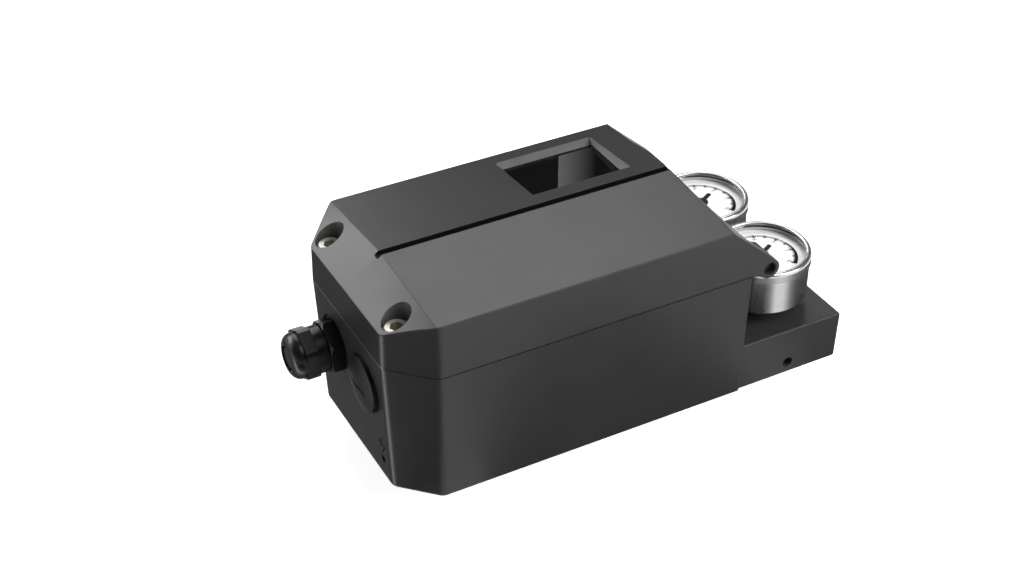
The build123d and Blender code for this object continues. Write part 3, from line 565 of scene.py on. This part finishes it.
def add_earth_symbol():
    """Stem and three shortening bars, raised from the wall above the earth hole."""
    bm = bmesh.new()
    for z, width, height in EARTH_BARS:
        start = Vector((-0.2, EARTH_Y * MM, z * MM))
        at = nodes["housing_base"].ray_cast(start, Vector((1, 0, 0)))[1]
        block = bmesh.ops.create_cube(bm, size=1.0)["verts"]
        bmesh.ops.scale(bm, vec=(EARTH_LINE * MM, width * MM, height * MM), verts=block)
        bmesh.ops.translate(bm, vec=(at.x, EARTH_Y * MM, z * MM), verts=block)
    bmesh.ops.bevel(bm, geom=bm.edges[:], offset=0.12 * MM, segments=2, affect="EDGES", profile=0.5)
    finish_piece("earth_symbol", bm, housing_paint, "base")


add_earth_symbol()


# Operating panel: marks on the buttons and the face of the display

def add_button_mark(number, outline):
    """Raised mark with the given outline, in millimetres, on the middle of a button."""
    low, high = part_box("button_%d" % number)
    middle = ((low.x + high.x) / 2, (low.y + high.y) / 2)
    bm = bmesh.new()
    points = [(middle[0] + x * MM, middle[1] + y * MM) for x, y in outline]
    plate(bm, points, high.z - 0.05 * MM, high.z + 0.06 * MM)
    finish_piece("button_mark_%d" % number, bm, white_plastic, "button_%d" % number)


arrow = [(-1.3, -0.9), (1.3, -0.9), (0.0, 1.4)]
add_button_mark(1, arrow)
add_button_mark(2, [(-x, -y) for x, y in arrow])
add_button_mark(3, [(-y, x) for x, y in arrow])
add_button_mark(4, [(1.2 * math.cos(t * math.pi / 16), 1.2 * math.sin(t * math.pi / 16)) for t in range(32)])

DISPLAY_RIM = 3.0 * MM
DISPLAY_MARGIN = 2.0 * MM
DISPLAY_BARS = 20
BARS_LIT = 13
BAR_SHARE = 0.65


def add_display_face():
    """Screen set in a border, with a row of level bars."""
    low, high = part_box("display")
    x, y = (low.x + DISPLAY_RIM, high.x - DISPLAY_RIM), (low.y + DISPLAY_RIM, high.y - DISPLAY_RIM)
    bm = bmesh.new()
    plate(bm, [(x[0], y[0]), (x[1], y[0]), (x[1], y[1]), (x[0], y[1])], high.z - 0.1 * MM, high.z + 0.05 * MM)
    finish_piece("display_screen", bm, lcd_grey, "base")
    bm = bmesh.new()
    step = (x[1] - x[0] - 2 * DISPLAY_MARGIN) / DISPLAY_BARS
    foot = y[0] + DISPLAY_MARGIN
    for bar in range(DISPLAY_BARS):
        left = x[0] + DISPLAY_MARGIN + step * bar
        right = left + BAR_SHARE * step
        top = y[0] + (3.0 + 0.7 * bar if bar < BARS_LIT else 3.0) * MM
        outline = [(left, foot), (right, foot), (right, top), (left, top)]
        plate(bm, outline, high.z + 0.05 * MM, high.z + 0.08 * MM)
    finish_piece("display_bars", bm, print_black, "base")


add_display_face()


# Gauges: printed scale and numbers on each dial, and the pointer over it; angles in degrees

SCALE_ZERO = 232.0
SCALE_SPAN = 284.0
SCALE_STEPS = 14
TICKS_PER_STEP = 5
NUMBER_STEP = 10
TICK_FOOT = 12.9 * MM
MAJOR_FOOT = 12.4 * MM
TICK_TOP = 14.4 * MM
TICK_HALF = 1.1
MAJOR_HALF = 2.0
ARC_START = 7.0
ARC_GROWTH = 0.55 * MM
NUMBER_RADIUS = 11.3 * MM
NUMBER_SIZE = 2.0 * MM


def scale_angle(part):
    """Plan angle of a share of the scale, which runs clockwise."""
    return SCALE_ZERO - SCALE_SPAN * part


def add_dial_print(side, centre, height):
    """Ticks, growing outer arc and numbers of one dial."""
    bm = bmesh.new()
    total = SCALE_STEPS * TICKS_PER_STEP
    for tick in range(total + 1):
        angle = scale_angle(tick / total)
        major = tick % TICKS_PER_STEP == 0
        half = MAJOR_HALF if major else TICK_HALF
        foot = MAJOR_FOOT if major else TICK_FOOT
        band(bm, centre, height, [angle - half, angle + half], lambda a: foot, lambda a: TICK_TOP)
    arc = sweep(ARC_START, scale_angle(1) - 1.5, 3.0)
    span = arc[0] - arc[-1]
    band(
        bm, centre, height + 0.01 * MM, arc,
        lambda a: TICK_TOP - ARC_GROWTH * (1 + (ARC_START - a) / span),
        lambda a: TICK_TOP + ARC_GROWTH * (ARC_START - a) / span,
    )
    finish_piece("dial_scale_" + side, bm, print_black, "base")

    bm = bmesh.new()
    for step in range(0, SCALE_STEPS + 1, 2):
        curve = bpy.data.curves.new("number", "FONT")
        curve.body = str(NUMBER_STEP * step)
        curve.size = NUMBER_SIZE
        curve.align_x = "CENTER"
        curve.align_y = "CENTER"
        label = bpy.data.objects.new("number", curve)
        bpy.context.scene.collection.objects.link(label)
        bpy.context.view_layer.update()
        shape = label.to_mesh()
        at = polar(centre, NUMBER_RADIUS, scale_angle(step / SCALE_STEPS), height)
        shape.transform(Matrix.Translation(at))
        bm.from_mesh(shape)
        label.to_mesh_clear()
        bpy.data.objects.remove(label)
    finish_piece("dial_numbers_" + side, bm, print_black, "base")


POINTER_ANGLE = 209.0
POINTER_OUTLINE = [(-7.6, -0.85), (0, -0.85), (14.2, -0.15), (14.2, 0.15), (0, 0.85), (-7.6, 0.85)]
POINTER_LEVELS = (0.4, 0.7)
BOSS_PROFILE = [(0, -7.3), (0.6, -7.3), (0.6, 0.25), (3.0, 0.25), (3.0, 0.6), (2.7, 0.9), (0, 0.9)]


def add_pointer(side, centre, height):
    """Needle with a wide tail on a broad boss; its arbor passes through the dial."""
    turn = math.radians(POINTER_ANGLE)
    bm = bmesh.new()
    outline = [(
        centre[0] + (x * math.cos(turn) - y * math.sin(turn)) * MM,
        centre[1] + (x * math.sin(turn) + y * math.cos(turn)) * MM,
    ) for x, y in POINTER_OUTLINE]
    plate(bm, outline, height + POINTER_LEVELS[0] * MM, height + POINTER_LEVELS[1] * MM)
    turned(bm, centre, [(radius * MM, height + z * MM) for radius, z in BOSS_PROFILE])
    pointer = finish_piece("pointer_needle_" + side, bm, needle_black, "pointer_" + side)
    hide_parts("gauge_%s_pointer" % side)


for side in ("front", "rear"):
    low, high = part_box("gauge_%s_dial" % side)
    centre = ((low.x + high.x) / 2, (low.y + high.y) / 2)
    add_dial_print(side, centre, high.z + 0.03 * MM)
    add_pointer(side, centre, high.z)


# Stage, light and camera

FLOOR_LEVEL = cad_box[0][2] - 0.2 * MM
FLOOR_LIFT = 0.85
STUDIO_DIM = 0.12
CARD_DISTANCE = 1.2
CARD_BRIGHT_EDGE = 59.4
CARD_DARK_EDGE = 56.7
CARD_LOW = 24.0
CARD_HIGH = 38.0
CARD_GLOW = 1.9


def background_rays(tree):
    """Light Path node, and 1 for rays that show the background: to the camera, in gloss, through glass."""
    path = add(tree, "ShaderNodeLightPath")
    total = path.outputs["Is Camera Ray"]
    for name in ("Is Glossy Ray", "Is Transmission Ray"):
        larger = add(tree, "ShaderNodeMath", operation="MAXIMUM")
        tree.links.new(total, larger.inputs[0])
        tree.links.new(path.outputs[name], larger.inputs[1])
        total = larger.outputs["Value"]
    return path, total


def add_floor():
    """Plain pale floor that keeps the shadow and shows white as a background."""
    size = 4.0
    corners = ((-size, -size), (size, -size), (size, size), (-size, size))
    bm = bmesh.new()
    bm.faces.new([bm.verts.new((x, y, FLOOR_LEVEL)) for x, y in corners])
    material, tree, shader = new_material("floor")
    shader.inputs["Base Color"].default_value = (0.80, 0.80, 0.80, 1)
    shader.inputs["Roughness"].default_value = 0.9
    shader.inputs["Specular IOR Level"].default_value = 0.1
    seen = background_rays(tree)[1]
    lift = spread(tree, seen, 0.0, FLOOR_LIFT, 0.0, 1.0)
    shader.inputs["Emission Color"].default_value = (1, 1, 1, 1)
    tree.links.new(lift, shader.inputs["Emission Strength"])
    floor = new_object("floor", bm, material)


def add_world():
    """White background near the horizon, a dim studio above and for soft light."""
    world = bpy.data.worlds.new("studio")
    bpy.context.scene.world = world
    world.use_nodes = True
    tree = world.node_tree
    ground = tree.nodes["Background"]
    path, seen = background_rays(tree)
    place = add(tree, "ShaderNodeTexCoord")
    parts = add(tree, "ShaderNodeSeparateXYZ")
    tree.links.new(place.outputs["Generated"], parts.inputs["Vector"])
    low = spread(tree, parts.outputs["Z"], 1.0, STUDIO_DIM, 0.0, 0.25)
    white = add(tree, "ShaderNodeMath", operation="MAXIMUM")
    tree.links.new(low, white.inputs[0])
    tree.links.new(path.outputs["Is Camera Ray"], white.inputs[1])
    strength = add(tree, "ShaderNodeMix", {2: STUDIO_DIM}, data_type="FLOAT")
    tree.links.new(seen, strength.inputs[0])
    tree.links.new(white.outputs["Value"], strength.inputs[3])
    ground.inputs["Color"].default_value = (1, 1, 1, 1)
    tree.links.new(strength.outputs[0], ground.inputs["Strength"])


def towards(azimuth, elevation, distance):
    """Point seen from the object at an azimuth from +X and an elevation, in degrees."""
    turn, rise = math.radians(azimuth), math.radians(elevation)
    flat = distance * math.cos(rise)
    return (flat * math.cos(turn), flat * math.sin(turn), distance * math.sin(rise))


def finish_card(name, bm, glow_from):
    """Glowing card seen only in gloss; glow_from turns its first texture coordinate into a strength."""
    material, tree, shader = new_material(name)
    tree.nodes.remove(shader)
    glow = add(tree, "ShaderNodeEmission")
    place = add(tree, "ShaderNodeTexCoord")
    parts = add(tree, "ShaderNodeSeparateXYZ")
    tree.links.new(place.outputs["UV"], parts.inputs["Vector"])
    tree.links.new(glow_from(tree, parts.outputs["X"]), glow.inputs["Strength"])
    tree.links.new(glow.outputs["Emission"], tree.nodes["Material Output"].inputs["Surface"])
    card = new_object(name, bm, material)
    for kind in ("camera", "diffuse", "transmission", "volume_scatter", "shadow"):
        setattr(card, "visible_" + kind, False)


def add_reflector():
    """Upright card with a bright edge that fades away to one side."""
    edges = (
        (CARD_BRIGHT_EDGE, CARD_LOW), (CARD_DARK_EDGE, CARD_LOW),
        (CARD_DARK_EDGE, CARD_HIGH), (CARD_BRIGHT_EDGE, CARD_HIGH),
    )
    bm = bmesh.new()
    face = bm.faces.new([bm.verts.new(towards(azimuth, rise, CARD_DISTANCE)) for azimuth, rise in edges])
    layer = bm.loops.layers.uv.new("fade")
    for loop, u in zip(face.loops, (0, 1, 1, 0)):
        loop[layer].uv = (u, 0)
    finish_card("reflector", bm, lambda tree, u: spread(tree, u, CARD_GLOW, 0.1, 0.0, 0.85))


def glow_at(stops, azimuth):
    """Glow between the two stops on either side of an azimuth."""
    for (start, first), (end, second) in zip(stops, stops[1:]):
        if start <= azimuth <= end:
            return first + (second - first) * (azimuth - start) / (end - start)
    return stops[-1][1]


def add_floor_card(name, centre, radius, lift, stops):
    """Fan over the floor whose glow changes with the azimuth from its centre, as its stops say."""
    level = FLOOR_LEVEL + lift
    bm = bmesh.new()
    layer = bm.loops.layers.uv.new("glow")
    hub = bm.verts.new((centre[0], centre[1], level))
    angles = sweep(stops[0][0], stops[-1][0], 4.0)
    rim = [bm.verts.new(polar(centre, radius, a, level)) for a in angles]
    for i in range(len(angles) - 1):
        face = bm.faces.new((hub, rim[i], rim[i + 1]))
        glows = [glow_at(stops, a) for a in ((angles[i] + angles[i + 1]) / 2, angles[i], angles[i + 1])]
        for loop, glow in zip(face.loops, glows):
            loop[layer].uv = (glow, 0)
    finish_card(name, bm, lambda tree, u: u)


LAMP_TARGET = (0, 0, 0.05)
SOFTBOXES = [
    # name, azimuth, elevation, distance, size, watts, seen in gloss only
    ("rear_high", 66, 52, 1.5, (0.9, 0.55), 14, False),
    ("rear_left", 124, 33, 1.5, (1.0, 0.7), 27, True),
    ("left_fill", 150, 20, 1.5, (0.6, 0.5), 4, False),
    ("front_high", -60, 58, 1.6, (0.9, 0.9), 10, False),
    ("rear_low", 82, 28, 1.5, (0.4, 0.3), 4, True),
    ("front_right", -50, 33, 1.6, (0.9, 0.7), 21, False),
]


def add_softbox(name, azimuth, elevation, distance, size, power, gloss_only):
    """Rectangular soft light turned towards the object."""
    place = towards(azimuth, elevation, distance)
    lamp = bpy.data.lights.new(name, "AREA")
    lamp.shape = "RECTANGLE"
    lamp.size, lamp.size_y = size
    lamp.energy = power
    holder = bpy.data.objects.new(name, lamp)
    holder.location = place
    holder.rotation_euler = (Vector(place) - Vector(LAMP_TARGET)).to_track_quat("Z", "Y").to_euler()
    holder.visible_diffuse = not gloss_only
    bpy.context.scene.collection.objects.link(holder)


CAMERA_TURN = (-27.986, 35.438, -0.251)
CAMERA_PLACE = (-0.26111, -0.48290, 0.44007)
CAMERA_SENSOR = 36.0
CAMERA_LENS = 60.33


def add_camera():
    """Camera from the azimuth, elevation, roll, place and lens found in the photograph."""
    azimuth, elevation, roll = (math.radians(angle) for angle in CAMERA_TURN)
    back = Vector((
        math.sin(azimuth) * math.cos(elevation),
        -math.cos(azimuth) * math.cos(elevation),
        math.sin(elevation),
    ))
    right = Vector((math.cos(azimuth), math.sin(azimuth), 0))
    up = back.cross(right)
    across = math.cos(roll) * right + math.sin(roll) * up
    upright = math.cos(roll) * up - math.sin(roll) * right
    lens = bpy.data.cameras.new("camera")
    lens.sensor_width = CAMERA_SENSOR
    lens.lens = CAMERA_LENS
    lens.clip_start = 0.01
    camera = bpy.data.objects.new("camera", lens)
    turn = Matrix((across, upright, back)).transposed().to_4x4()
    camera.matrix_world = Matrix.Translation(CAMERA_PLACE) @ turn
    bpy.context.scene.collection.objects.link(camera)
    bpy.context.scene.camera = camera


add_floor()
add_world()
add_reflector()
add_floor_card("corner_card", centre=(-0.073, -0.034), radius=0.3, lift=0.2 * MM, stops=[
    (85, 0.9), (125, 0.6), (152, 1.2), (163, 12.0), (174, 1.0), (198, 0.08), (238, 0.08), (246, 0.02),
    (262, 0.02), (272, 0.9),
])
add_floor_card("gauge_card", centre=(0.0985, -0.0223), radius=0.135, lift=0.4 * MM, stops=[
    (98, 0.01), (246, 0.01), (260, 0.3), (271, 1.15), (289, 1.15), (306, 0.3), (322, 0.08), (458, 0.05),
])
for softbox in SOFTBOXES:
    add_softbox(*softbox)
add_camera()
bpy.context.scene.view_settings.view_transform = "Standard"
